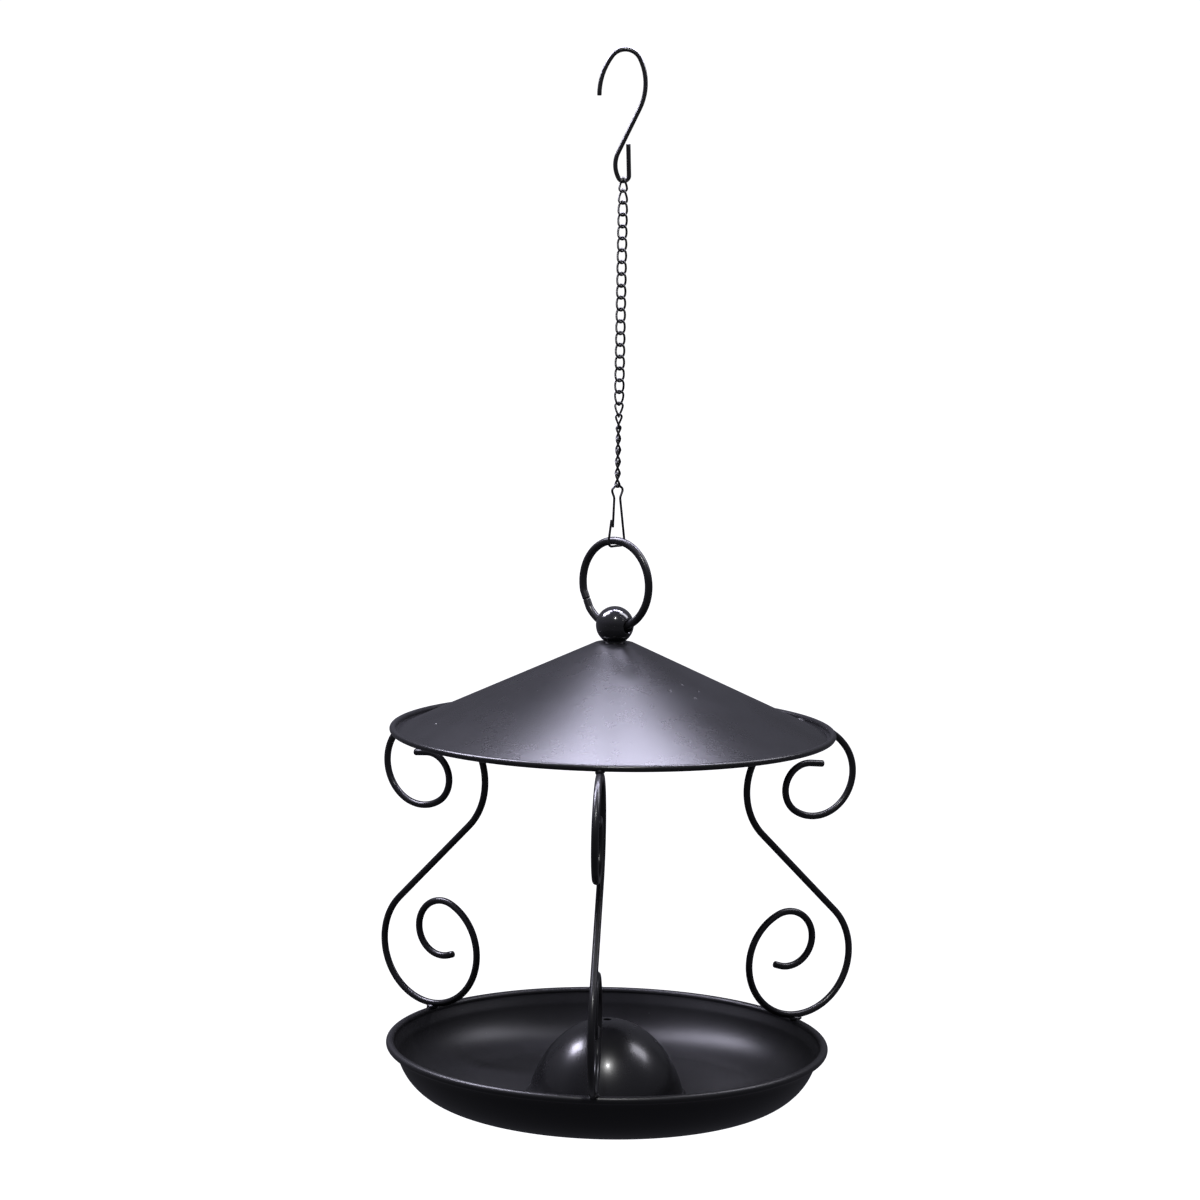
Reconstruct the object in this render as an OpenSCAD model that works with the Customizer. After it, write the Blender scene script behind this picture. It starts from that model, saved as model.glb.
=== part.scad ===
// Hanging scroll bird feeder: hook, curb chain, snap clip, ring, ball finial,
// conical roof, three scroll legs and a seed tray with a dome in its middle.
// +Z is up and the roof's front faces -Y. The origin is the hook's seat, the lowest
// point of the bracket bar that the hook's crook hangs over.

/* [Hook] */
// Diameter of the hook wire
hook_wire = 2.4; // [1.8:0.1:3]
// Bend radius of the crook over the bracket
crook_r = 8.6; // [7:0.1:12]
// Length of the straight shank between the crook and the lower loop
shank_len = 25.5; // [15:0.5:60]

/* [Chain] */
// Diameter of the link wire
link_wire = 1.2; // [0.9:0.1:1.4]
// Length of the eye inside one link
link_eye = 6.35; // [5.5:0.05:9]
// Outer width of one link
link_w = 5.7; // [5.4:0.1:7]
// Gap between two wires that hang on each other
hang_gap = 0.1; // [0.08:0.01:0.3]

/* [Snap clip] */
// Diameter of the clip wire
clip_wire = 1.3; // [1:0.1:1.6]
// Height of the clip between its two end wires
clip_h = 33; // [28:0.5:50]
// Splay of the clip's legs from the vertical, in degrees
clip_splay = 10; // [8:0.5:12]

/* [Ring and ball] */
// Diameter of the ring wire
ring_wire = 4.2; // [3:0.1:5]
// Radius of the ring at the middle of its wire
ring_r = 23.3; // [20:0.1:34]
// Diameter of the ball
ball_d = 20.4; // [18:0.1:26]
// Gap between the ring and the hole through the ball
ring_gap = 0.25; // [0.1:0.05:0.6]
// Turn of the ring about the vertical, in degrees
ring_yaw = -41; // [-90:1:90]

/* [Roof] */
// Outer radius of the roof's rolled rim
roof_r = 120; // [90:1:160]
// Slope of the roof, in degrees
roof_slope = 25; // [15:1:32]
// Thickness of the roof and tray sheet
sheet_t = 0.8; // [0.6:0.1:1.2]
// Diameter of the roof's rolled rim
roof_bead_d = 3.5; // [2.6:0.1:5]

/* [Tray] */
// Outer radius of the tray's rolled hem
tray_r = 120; // [90:1:160]
// Diameter of the tray's rolled hem
hem_d = 4.4; // [3:0.1:6]
// Depth from the hem's middle to the underside of the tray
tray_depth = 28.8; // [22:0.2:45]
// Radius of the tray's flat base
base_r = 84.5; // [50:0.5:88]
// Height from the tray's hem to the roof's rim, between their middles
feeder_gap = 172; // [150:1:260]

/* [Dome] */
// Radius of the dome's full ellipsoid
dome_r = 44; // [30:1:60]
// Height of the dome above the tray floor
dome_h = 41; // [25:1:60]
// Diameter of the hole in the dome's top
dome_hole_d = 4.3; // [3:0.1:8]

/* [Legs] */
// Diameter of the leg wire
leg_wire = 4; // [3:0.1:5]
// Radius of each leg's big upper bend
upper_bend_r = 34.8; // [30:0.1:36]
// Radius of each leg's big lower bend
lower_bend_r = 33.6; // [30:0.1:36]
// Diameter of a weld bead
weld_d = 6.4; // [5.4:0.1:8]

/* [Screw] */
// Diameter of the finial screw
screw_d = 5; // [4:0.5:6]
// Gap between the screw and the holes that it passes
screw_gap = 0.1; // [0.05:0.05:0.3]
// Diameter of the washer
washer_d = 12; // [11:0.5:12.5]
// Thickness of the washer
washer_t = 1; // [0.8:0.1:2]

/* [Hidden] */
$fn = 64;
LINKS = [for (i = [1:26]) str("chain_link_", i < 10 ? "0" : "", i)];
link_count = len(LINKS);
// How far a cut runs past the face that it starts from
cut = 1;

// Azimuths of the legs about the vertical axis
front_az = 267;
right_az = 27;
left_az = 147;

// --- A tube through rings of points, closed on itself or with a flat end at each side
function point_at(rings, sides, i, j) = (i % rings) * sides + j % sides;
function tube_faces(rings, sides, closed) = concat(
    [for (i = [0:rings - (closed ? 1 : 2)], j = [0:sides - 1], half = [0, 1])
        half == 0
            ? [for (c = [[i, j], [i + 1, j], [i + 1, j + 1]]) point_at(rings, sides, c[0], c[1])]
            : [for (c = [[i, j], [i + 1, j + 1], [i, j + 1]]) point_at(rings, sides, c[0], c[1])]],
    closed ? [] : [
        [for (j = [0:sides - 1]) j],
        [for (j = [sides - 1:-1:0]) (rings - 1) * sides + j]
    ]
);

// --- A bent wire: a path of [x, z, heading] states and a list of [radius, turn] bends.
// A bend with no turn is a straight of that length. Left turns are positive.
wire_sides = 10;
wire_step = 13;
function turned(p, b) =
    let (h = p[2], s = sign(b[1]))
    b[1] == 0
        ? [p[0] + b[0] * cos(h), p[1] + b[0] * sin(h), h]
        : [
            p[0] - s * b[0] * (sin(h) - sin(h + b[1])),
            p[1] + s * b[0] * (cos(h) - cos(h + b[1])),
            h + b[1]
        ];
function state_after(p, bends, i = 0) =
    i == len(bends) ? p : state_after(turned(p, bends[i]), bends, i + 1);
// The same wire walked from its far end
function reversed(list) = [for (i = [len(list) - 1:-1:0]) list[i]];
function backwards(bends) = [for (b = reversed(bends)) [b[0], -b[1]]];
function far_end(p, bends) = state_after(p, bends) + [0, 0, 180];
function along_bend(p, b) =
    let (n = max(1, ceil(abs(b[1]) / wire_step)))
    [for (k = [0:n - 1]) k == 0 ? p : turned(p, [b[0], b[1] * k / n])];
function stations(p, bends, i = 0) =
    i == len(bends) ? [p] : concat(along_bend(p, bends[i]), stations(turned(p, bends[i]), bends, i + 1));

module bent_wire(start, bends, d) {
    path = stations(start, bends);
    polyhedron(
        points = [for (p = path, j = [0:wire_sides - 1])
            let (a = 360 * j / wire_sides, out = d / 2 * cos(a))
            [p[0] - out * sin(p[2]), d / 2 * sin(a), p[1] + out * cos(p[2])]],
        faces = tube_faces(len(path), wire_sides, false)
    );
}

// --- Hook: its crook's top is at the seat, and its lower loop hangs plumb below it.
to_loop = [[crook_r, -62.9], [29.6, -51.9], [shank_len, 0], [14.7, 54.3]];
loop_r = 2.9;
loop_turn = 153.2;
loop_end = 16.5;
to_tip = [[crook_r, 54.4], [33.4, 37.9]];
// The whole wire is tipped so that the loop's lowest point is under the seat.
loop_start = state_after([0, 0, 0], to_loop);
loop_low = turned(loop_start, [loop_r, -loop_start[2]]);
hook_tip = -90 - atan2(loop_low[1], loop_low[0]);
seat_state = [0, hook_wire / 2, hook_tip];
hook_low_z = hook_wire / 2 - norm([loop_low[0], loop_low[1]]);
hook_start = far_end(seat_state + [0, 0, 180], to_tip);
hook_bends = concat(backwards(to_tip), to_loop, [[loop_r, loop_turn], [loop_end, 0]]);

// --- Chain: half length and half width of a link at the middle of its wire
link_a = (link_eye + link_wire) / 2;
link_b = (link_w - link_wire) / 2;
link_pitch = link_eye - hang_gap;
link_top_z = hook_low_z + (hook_wire + link_wire) / 2 + hang_gap;
function link_z(i) = link_top_z - link_a - (i - 1) * link_pitch;
// The chain turns face-on in its first links and edge-on in its last third.
function eased(t) = let (c = min(1, max(0, t))) c * c * (3 - 2 * c);
lower_yaw = ring_yaw + 135;
first_yaw = -45;
first_turn_links = 3;
last_turn_from = 0.66 * link_count;
last_turn_links = 0.22 * link_count;
function link_yaw(i) =
    first_yaw * (1 - eased((i - 1) / first_turn_links))
    + lower_yaw * eased((i - last_turn_from) / last_turn_links);
// A link is an oval that is twisted by a quarter turn from its top to its bottom.
link_rings = 20;
link_sides = 8;
function link_twist(z) = -45 * z / link_a;
function oval_at(t) =
    let (x = link_b * cos(t), z = link_b * sin(t) + (link_a - link_b) * sign(sin(t)))
    [x * cos(link_twist(z)), x * sin(link_twist(z)), z];
function unit(v) = v / norm(v);
function link_ring(t) =
    let (
        c = oval_at(t),
        tangent = unit(oval_at(t + 4) - oval_at(t - 4)),
        face = [-sin(link_twist(c[2])), cos(link_twist(c[2])), 0],
        n1 = unit(cross(tangent, face)),
        n2 = cross(n1, tangent)
    )
    [for (j = [0:link_sides - 1])
        let (a = 360 * j / link_sides)
        c + link_wire / 2 * (cos(a) * n1 + sin(a) * n2)];
link_points = [for (i = [0:link_rings - 1]) each link_ring(360 * (i + 0.5) / link_rings)];

// --- Snap clip: it hangs on the last link, and its base bar passes under the ring wire.
last_link_low_z = link_z(link_count) - link_a;
clip_top_z = last_link_low_z + (link_wire + clip_wire) / 2 + hang_gap;
clip_low_z = clip_top_z - clip_h;
clip_corner_r = 2.6;
// From the top of the head down one side, to the leg
function clip_side(splay) = [[1.7, -32], [3, 0], [1.6, -86], [2.6, 0], [3, 28 + splay]];
clip_neck = state_after([0, 0, 0], clip_side(clip_splay));
// The leg is as long as leaves room for the corner bend above the base bar.
clip_corner_drop = clip_corner_r * (1 + sin(clip_splay));
clip_leg = (clip_h + clip_neck[1] - clip_corner_drop) / cos(clip_splay);
clip_corner = [clip_corner_r, -90 - clip_splay];
clip_base_half = state_after(clip_neck, [[clip_leg, 0], clip_corner])[0];
// The wire's two ends lie side by side on one leg, the head's end inside the base's.
latch_up = 7;
latch_len = 4.5;
latch_gap = 0.1;
latch_in = (clip_wire + latch_gap) / cos(clip_splay);
latch_splay = clip_splay - atan2(latch_in, clip_leg - latch_up - latch_len);
to_latch = [[clip_base_half, 0], clip_corner, [latch_up + latch_len, 0]];
clip_base = [0, -clip_h, 180];
clip_start = far_end(clip_base, to_latch);
clip_bends = concat(
    backwards(to_latch),
    [[clip_base_half, 0], [clip_corner_r, 90 + clip_splay], [clip_leg, 0]],
    backwards(clip_side(clip_splay)),
    [for (b = clip_side(latch_splay)) [b[0], -b[1]]],
    [[clip_leg - latch_up, 0]]
);

// --- Ring and ball
ring_top_z = clip_low_z + (ring_wire + clip_wire) / 2 + hang_gap;
ring_z = ring_top_z - ring_r;
ring_seam_deg = 0.5;
ring_seam_az = 206;
ball_r = ball_d / 2;
// Rise of the curved ring wire between the ball's middle and its sides
ring_sag = ring_r - sqrt(pow(ring_r, 2) - pow(ball_r, 2));
ring_hole_r = (ring_wire + ring_sag) / 2 + ring_gap;
ball_z = ring_z - ring_r + ring_sag / 2;
neck_h = 0.9;
neck_in = ball_r / 3;
neck_d = 11.6;
seat_z = ball_z - ball_r - neck_h;

// --- Screw, from under the roof into the ball
washer_top_z = seat_z - sheet_t;
screw_head_d = screw_d * 1.8;
screw_head_h = screw_d * 0.6;
// The screw ends short of the ring hole.
screw_short = 0.8;
screw_top_z = ball_z - ring_hole_r - screw_short;

// --- Roof, as a sheet profile from its seat over the shoulder to the rolled rim
seat_r = 6.3;
shoulder_r = 3.5;
shoulder_x = 9.2;
dimple_depth = 1.85;
groove_w = 1.3;
roof_bead_r = roof_bead_d / 2;
bead_x = roof_r - roof_bead_r;
cone_end_x = bead_x - roof_bead_r - groove_w;
shoulder_z = seat_z + dimple_depth - shoulder_r;
cone_top_z = shoulder_z + shoulder_r / cos(roof_slope);
cone_end_z = cone_top_z - (cone_end_x - shoulder_x) * tan(roof_slope);
// The rim's bead sits a little above the cone's end, in the sheet that curls up to it.
bead_rise = 1.2;
bead_z = cone_end_z + bead_rise;
// The lowest metal of the rim, under its bead or under the sheet that ends in it
rim_low_z = min(bead_z - roof_bead_r, cone_end_z - sheet_t);
function roof_line(drop) = concat(
    [[0, seat_z - drop], [seat_r, seat_z - drop]],
    [for (k = [0:6])
        let (a = 140 - k * (50 + roof_slope) / 6)
        [shoulder_x + shoulder_r * cos(a), shoulder_z + shoulder_r * sin(a) - drop]],
    [[cone_end_x, cone_end_z - drop], [bead_x, cone_end_z - drop]]
);

// --- Tray, as a sheet profile from its flat base round the corner to the rolled hem
hem_r = hem_d / 2;
hem_x = tray_r - hem_r;
hem_z = bead_z - feeder_gap;
tray_floor_z = hem_z - tray_depth + sheet_t;
tray_low_z = hem_z - tray_depth;
// The corner turns up from the flat base, and a straight flare leads on to the hem.
corner_turn = 75;
flare_w = 4;
corner_r = (hem_x - flare_w - base_r) / sin(corner_turn);
corner_z = tray_low_z + corner_r;
function tray_line(r, z) = concat(
    [[0, z]],
    [for (k = [0:12])
        let (a = k * corner_turn / 12)
        [base_r + r * sin(a), corner_z - r * cos(a)]],
    [[hem_x + r - corner_r, hem_z]]
);

// --- Dome, cut from an ellipsoid whose middle lies below the tray floor
dome_sink = 16;
dome_up = dome_h + dome_sink;
dome_steps = 16;
dome_low_deg = asin(dome_sink / dome_up);
function dome_line(in) = [
    for (k = [0:dome_steps])
        let (a = dome_low_deg + k * (90 - dome_low_deg) / dome_steps)
        [(dome_r - in) * cos(a), tray_floor_z - dome_sink + (dome_up - in) * sin(a)]
];
dome_foot_r = dome_r * cos(dome_low_deg);
dome_weld_w = 1.6;

// --- Legs: two big bends joined by a straight, with a curl and a short straight tip at each end
// The wire stands a hair clear of both rims, and the welds bridge the gap.
weld_gap = 0.05;
roof_weld_in = 1.5;
leg_top_z = rim_low_z - leg_wire / 2 - weld_gap;
leg_low_z = hem_z + hem_r + leg_wire / 2 + weld_gap;
bends_across = [bead_x - hem_x, (leg_top_z - upper_bend_r) - (leg_low_z + lower_bend_r)];
bends_sum = upper_bend_r + lower_bend_r;
leg_straight = sqrt(pow(norm(bends_across), 2) - pow(bends_sum, 2));
leg_turn = atan2(bends_across[1], bends_across[0]) + atan2(bends_sum, leg_straight);
to_lower_tip = [[30.3, -155.5], [15.6, -222.7], [3.6, 0]];
upper_curl = [[23.6, -159.2], [14.4, -154.2], [7.9, 0]];
upper_overrun = 52.5;
leg_start = far_end([hem_x, leg_low_z, 180], to_lower_tip);
leg_bends = concat(
    backwards(to_lower_tip),
    [[lower_bend_r, leg_turn], [leg_straight, 0], [upper_bend_r, -leg_turn - upper_overrun]],
    upper_curl
);

module hook() {
    color("#141416") bent_wire(hook_start, hook_bends, hook_wire);
}

module chain_link(i) {
    color("#101012")
        translate([0, 0, link_z(i)])
            rotate([0, 0, link_yaw(i)])
                polyhedron(points = link_points, faces = tube_faces(link_rings, link_sides, true));
}

module snap_clip() {
    color("#101012")
        translate([0, 0, clip_top_z])
            rotate([0, 0, ring_yaw + 90])
                bent_wire(clip_start, clip_bends, clip_wire);
}

module hanging_ring() {
    color("#121214")
        translate([0, 0, ring_z])
            rotate([0, 0, ring_yaw])
                rotate([90, 0, 0])
                    rotate([0, 0, ring_seam_az])
                        rotate_extrude(angle = 360 - ring_seam_deg)
                            translate([ring_r, 0])
                                circle(d = ring_wire);
}

module ball_finial() {
    color("#121214")
        difference() {
            union() {
                translate([0, 0, ball_z]) sphere(d = ball_d);
                translate([0, 0, seat_z]) cylinder(d = neck_d, h = neck_h + neck_in);
            }
            translate([0, 0, ball_z])
                rotate([0, 0, ring_yaw])
                    rotate([0, 90, 0])
                        cylinder(r = ring_hole_r, h = 2 * ball_d, center = true);
            translate([0, 0, seat_z - cut])
                cylinder(r = screw_d / 2 + screw_gap, h = ball_z - seat_z);
        }
}

module finial_screw() {
    color("#3a3a3c") {
        translate([0, 0, washer_top_z - washer_t])
            cylinder(d = screw_d, h = screw_top_z - washer_top_z + washer_t);
        translate([0, 0, washer_top_z - washer_t - screw_head_h])
            cylinder(d = screw_head_d, h = screw_head_h);
    }
}

module finial_washer() {
    color("#4a4a4c")
        translate([0, 0, washer_top_z - washer_t])
            difference() {
                cylinder(d = washer_d, h = washer_t);
                translate([0, 0, -cut])
                    cylinder(r = screw_d / 2 + screw_gap, h = washer_t + 2 * cut);
            }
}

module roof() {
    color("#1c1c20")
        difference() {
            union() {
                rotate_extrude() polygon(concat(roof_line(0), reversed(roof_line(sheet_t))));
                translate([0, 0, bead_z])
                    rotate_extrude()
                        translate([bead_x, 0])
                            circle(r = roof_bead_r);
            }
            translate([0, 0, seat_z - sheet_t - cut])
                cylinder(r = screw_d / 2 + screw_gap, h = sheet_t + 2 * cut);
        }
}

module scroll_leg(azimuth) {
    color("#101012") rotate([0, 0, azimuth]) bent_wire(leg_start, leg_bends, leg_wire);
}

module at_legs() {
    for (azimuth = [front_az, right_az, left_az])
        rotate([0, 0, azimuth]) children();
}

module roof_welds() {
    color("#101012")
        at_legs()
            translate([bead_x - roof_weld_in, 0, leg_top_z + leg_wire / 2])
                sphere(d = weld_d);
}

module tray_welds() {
    color("#101012")
        at_legs()
            translate([hem_x, 0, leg_low_z - leg_wire / 2])
                sphere(d = weld_d);
}

module tray() {
    color("#1a1a1e") {
        rotate_extrude()
            polygon(concat(
                tray_line(corner_r, tray_low_z),
                reversed(tray_line(corner_r - sheet_t, tray_floor_z))
            ));
        translate([0, 0, hem_z])
            rotate_extrude()
                translate([hem_x, 0])
                    circle(r = hem_r);
    }
}

module seed_dome() {
    color("#18181c")
        difference() {
            rotate_extrude() polygon(concat(dome_line(0), reversed(dome_line(sheet_t))));
            translate([0, 0, tray_floor_z]) cylinder(d = dome_hole_d, h = 2 * dome_h);
        }
}

module dome_weld() {
    color("#18181c")
        translate([0, 0, tray_floor_z])
            rotate_extrude()
                polygon([
                    [dome_foot_r - sheet_t / 2, 0],
                    [dome_foot_r + dome_weld_w, 0],
                    [dome_foot_r - sheet_t / 2, dome_weld_w]
                ]);
}

hook();
for (i = [1:link_count])
    chain_link(i);
snap_clip();
hanging_ring();
ball_finial();
finial_screw();
finial_washer();
roof();
scroll_leg(front_az);  // leg_front
scroll_leg(right_az);  // leg_right
scroll_leg(left_az);  // leg_left
roof_welds();
tray_welds();
tray();
seed_dome();
dome_weld();
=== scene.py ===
import math

import bpy
import numpy as np
from mathutils import Matrix, Vector


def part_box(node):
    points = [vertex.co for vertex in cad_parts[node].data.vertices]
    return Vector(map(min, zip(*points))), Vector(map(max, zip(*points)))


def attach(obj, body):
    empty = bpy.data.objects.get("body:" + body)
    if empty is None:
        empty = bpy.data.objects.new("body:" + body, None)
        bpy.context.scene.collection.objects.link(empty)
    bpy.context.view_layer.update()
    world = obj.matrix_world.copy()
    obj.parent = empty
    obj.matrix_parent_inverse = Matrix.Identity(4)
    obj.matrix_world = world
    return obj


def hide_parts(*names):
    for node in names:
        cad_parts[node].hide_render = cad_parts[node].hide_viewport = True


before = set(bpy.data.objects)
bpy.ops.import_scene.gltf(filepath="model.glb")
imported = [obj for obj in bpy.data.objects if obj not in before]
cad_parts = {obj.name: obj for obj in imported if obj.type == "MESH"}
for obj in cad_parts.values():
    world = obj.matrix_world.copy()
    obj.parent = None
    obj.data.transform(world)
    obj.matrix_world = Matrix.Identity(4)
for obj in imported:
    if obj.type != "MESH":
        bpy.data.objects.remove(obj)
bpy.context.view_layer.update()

# Lengths are in millimetres until a mesh is made. The origin is the hook's seat.
MM = 0.001

# Heights of the joined pieces, from the frame
RING_LOW, RING_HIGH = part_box("hanging_ring")
BALL_LOW, BALL_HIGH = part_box("ball_finial")
TRAY_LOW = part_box("tray")[0]


def unit(v):
    """Each row scaled to a length of one."""
    v = np.asarray(v, float)
    return v / np.linalg.norm(v, axis=-1, keepdims=True)


def turn_z(points, degrees):
    """Points turned about the feeder's axis."""
    c, s = math.cos(math.radians(degrees)), math.sin(math.radians(degrees))
    return np.asarray(points, float) @ np.array([[c, s, 0], [-s, c, 0], [0, 0, 1]])


# ---------------------------------------------------------------- meshes


def make(name, verts, faces, sharp=35.0):
    """A smooth-shaded object from points in millimetres, with edges above an angle kept sharp."""
    mesh = bpy.data.meshes.new(name)
    mesh.from_pydata([tuple(v) for v in np.asarray(verts, float) * MM], [], faces)
    mesh.validate()
    mesh.shade_smooth()
    mesh.set_sharp_from_angle(angle=math.radians(sharp))
    obj = bpy.data.objects.new(name, mesh)
    bpy.context.scene.collection.objects.link(obj)
    return obj


def grid_faces(rows, cols, closed_rows, flip=False):
    """Quads between rows of points. Each row is a closed loop of cols points."""
    faces = []
    for i in range(rows if closed_rows else rows - 1):
        a, b = i * cols, (i + 1) % rows * cols
        for j in range(cols):
            k = (j + 1) % cols
            quad = (a + j, a + k, b + k, b + j)
            faces.append(quad[::-1] if flip else quad)
    return faces


def tube(points, sides, tangents, radius, around, closed=False):
    """Rings of points swept along a wire. sides holds one direction across the wire at each point."""
    points, tangents = np.asarray(points, float), unit(tangents)
    n1 = unit(np.cross(tangents, sides))
    n2 = np.cross(n1, tangents)
    radius = np.broadcast_to(radius, len(points))
    a = np.arange(around) * 2 * math.pi / around
    rings = (
        points[:, None, :]
        + radius[:, None, None]
        * (np.cos(a)[None, :, None] * n1[:, None, :] + np.sin(a)[None, :, None] * n2[:, None, :])
    )
    verts = rings.reshape(-1, 3)
    faces = grid_faces(len(points), around, closed)
    if not closed:
        verts = np.vstack([verts, points[0], points[-1]])
        first, last = len(verts) - 2, len(verts) - 1
        base = (len(points) - 1) * around
        for j in range(around):
            k = (j + 1) % around
            faces.append((first, k, j))
            faces.append((last, base + j, base + k))
    return verts, faces


def walk(start, bends, step):
    """Stations [x, z, heading] along a flat wire of [radius, turn] bends. A bend whose turn is 0 is
    a straight, and its first number is the length."""
    x, z, h = start
    out = []
    for radius, turn in bends:
        pieces = max(2, math.ceil(abs(turn) / step)) if turn else max(2, math.ceil(radius / 3))
        for k in range(pieces):
            out.append(bent(x, z, h, radius, turn, k / pieces))
        x, z, h = bent(x, z, h, radius, turn, 1.0)
    out.append((x, z, h))
    return np.array(out)


def bent(x, z, h, radius, turn, share):
    """The station reached after a share of one bend that starts at x, z with heading h."""
    a = math.radians(h)
    if not turn:
        return x + share * radius * math.cos(a), z + share * radius * math.sin(a), h
    s = math.copysign(1.0, turn)
    b = math.radians(h + turn * share)
    return (
        x - s * radius * (math.sin(a) - math.sin(b)),
        z + s * radius * (math.cos(a) - math.cos(b)),
        h + turn * share,
    )


# A cut wire's edge is rounded over in two chamfers, which meet at these shares of its size.
EDGE_ALONG, EDGE_IN = 0.3, 0.29


def rounded_ends(path, wire_r, edge):
    """Adds stations at both ends where a cut wire's edge is rounded. Returns stations and radii."""
    steps = [(0.0, wire_r - edge), (EDGE_ALONG * edge, wire_r - EDGE_IN * edge), (edge, wire_r)]

    def shifted(p, along):
        a = math.radians(p[2])
        return (p[0] + along * math.cos(a), p[1] + along * math.sin(a), p[2])

    head = [shifted(path[0], s) for s, _ in steps]
    tail = [shifted(path[-1], -s) for s, _ in reversed(steps)]
    radii = [r for _, r in steps] + [wire_r] * (len(path) - 2) + [r for _, r in reversed(steps)]
    return np.array(head + [tuple(p) for p in path[1:-1]] + tail), np.array(radii)


def flat_wire(name, start, bends, wire_d, azimuth, base_z, around=20, step=5.0, edge=None):
    """A bent wire in an upright plane through the axis, with cut ends."""
    path = walk(start, bends, step)
    path, radii = rounded_ends(path, wire_d / 2, edge or 0.18 * wire_d)
    a = np.radians(path[:, 2])
    points = np.c_[path[:, 0], np.zeros(len(path)), path[:, 1] + base_z]
    tangents = np.c_[np.cos(a), np.zeros(len(path)), np.sin(a)]
    sides = np.tile([0.0, 1.0, 0.0], (len(path), 1))
    verts, faces = tube(points, sides, tangents, radii, around)
    return make(name, turn_z(verts, azimuth), faces)


def lathe(name, profile, around=256, sharp=35.0, wobble=None):
    """A solid of revolution about Z from a closed profile of [r, z] points. Points on the axis are
    single vertices."""
    profile = np.asarray(profile, float)
    on_axis = profile[:, 0] < 1e-6
    a = np.arange(around) * 2 * math.pi / around
    verts, index = [], []
    for (r, z), single in zip(profile, on_axis):
        index.append(len(verts))
        if single:
            verts.append((0.0, 0.0, z))
        else:
            verts.extend(zip(r * np.cos(a), r * np.sin(a), np.full(around, z)))
    faces = []
    n = len(profile)
    for i in range(n):
        k = (i + 1) % n
        if on_axis[i] and on_axis[k]:
            continue
        p, q = index[i], index[k]
        for j in range(around):
            m = (j + 1) % around
            if on_axis[i]:
                faces.append((p, q + m, q + j))
            elif on_axis[k]:
                faces.append((p + j, p + m, q))
            else:
                faces.append((p + j, p + m, q + m, q + j))
    verts = np.array(verts)
    if wobble is not None:
        verts = wobble(verts)
    return make(name, verts, faces, sharp)


def arc(cx, cz, r, start, end, steps):
    """Points round a centre from one angle to another, in degrees."""
    t = np.radians(np.linspace(start, end, steps + 1))
    return [(cx + r * math.cos(a), cz + r * math.sin(a)) for a in t]


def hermite(p0, d0, p1, d1, steps):
    """Points of a smooth curve between two points, ends left out."""
    p0, d0, p1, d1 = (np.asarray(v, float) for v in (p0, d0, p1, d1))
    out = []
    for k in range(1, steps):
        t = k / steps
        h = (2 * t**3 - 3 * t**2 + 1, t**3 - 2 * t**2 + t, -2 * t**3 + 3 * t**2, t**3 - t**2)
        out.append(tuple(h[0] * p0 + h[1] * d0 + h[2] * p1 + h[3] * d1))
    return out


def line(p0, p1, step):
    """Points along a straight, at least a step apart, ends included."""
    p0, p1 = np.asarray(p0, float), np.asarray(p1, float)
    n = max(1, int(np.linalg.norm(p1 - p0) / step))
    return [tuple(p0 + (p1 - p0) * k / n) for k in range(n + 1)]


CUT_SHARP = 28


def boolean(base, other, how):
    """Joins or cuts with the exact solver and keeps the result as base's own mesh."""
    mod = base.modifiers.new(how, "BOOLEAN")
    mod.operation = how
    mod.solver = "EXACT"
    mod.object = other
    bpy.context.view_layer.update()
    done = bpy.data.meshes.new_from_object(base.evaluated_get(bpy.context.evaluated_depsgraph_get()))
    base.modifiers.clear()
    base.data = done
    bpy.data.objects.remove(other)
    done.shade_smooth()
    done.set_sharp_from_angle(angle=math.radians(CUT_SHARP))
    return base


def settle(obj, body, material, slot, *nodes):
    """Gives a piece its material and its body, and hides the CAD nodes that it replaces. slot is not used.
    """
    obj.data.materials.clear()
    obj.data.materials.append(material)
    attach(obj, body)
    if nodes:
        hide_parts(*nodes)
    return obj


# ------------------------------------------------------------- materials


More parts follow.
